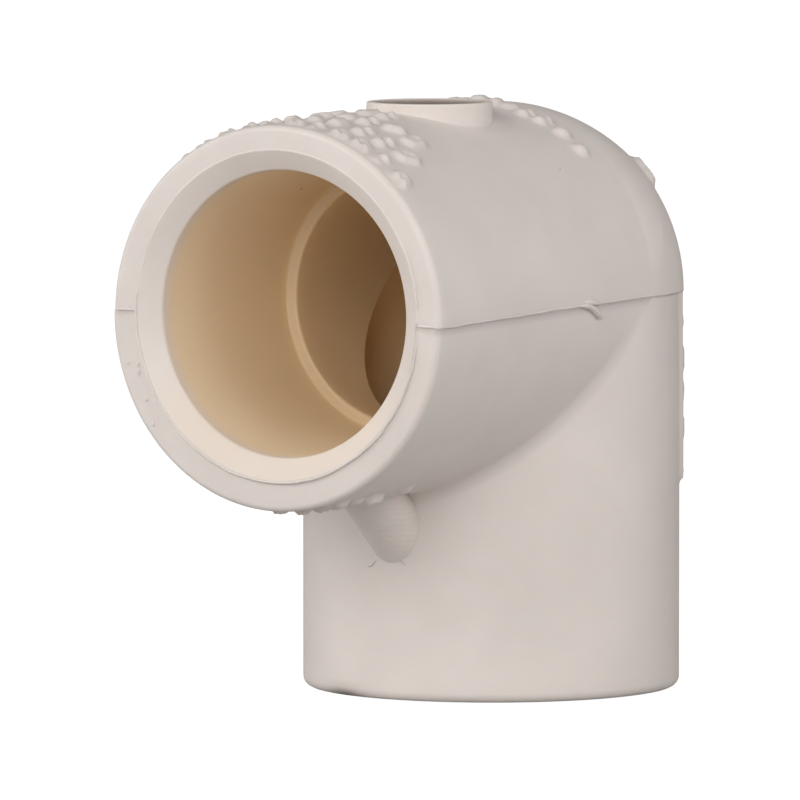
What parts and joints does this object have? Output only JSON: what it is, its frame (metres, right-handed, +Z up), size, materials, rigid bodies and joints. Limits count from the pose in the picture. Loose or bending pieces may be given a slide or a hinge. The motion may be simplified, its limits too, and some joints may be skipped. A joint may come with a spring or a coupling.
{
  "type": "pipe elbow fitting",
  "caption": "Right-angle moulded plastic pipe elbow with a tapered solvent-weld socket at each end, a gate boss on the crown and a strut across the inside corner.",
  "frame": {"origin": "on the floor that the bottom mouth stands on, under the middle of the fitting's box; the bottom socket's axis is 7.35 mm towards +Y from it, and the two bore axes cross 28 mm above the floor", "axes": "+Z up along the bottom socket's axis, away from its mouth; -Y out of the front socket's mouth; X across the plane that holds both bore axes"},
  "size_m": [0.0266, 0.0412, 0.0417],
  "materials": {
    "upvc_moulding": "satin, ivory, as moulded"
  },
  "bodies": {
    "root": {"front_socket": "upvc_moulding", "bottom_socket": "upvc_moulding", "elbow_bend": "upvc_moulding", "gate_boss": "upvc_moulding", "corner_strut": "upvc_moulding"}
  },
  "joints": []
}
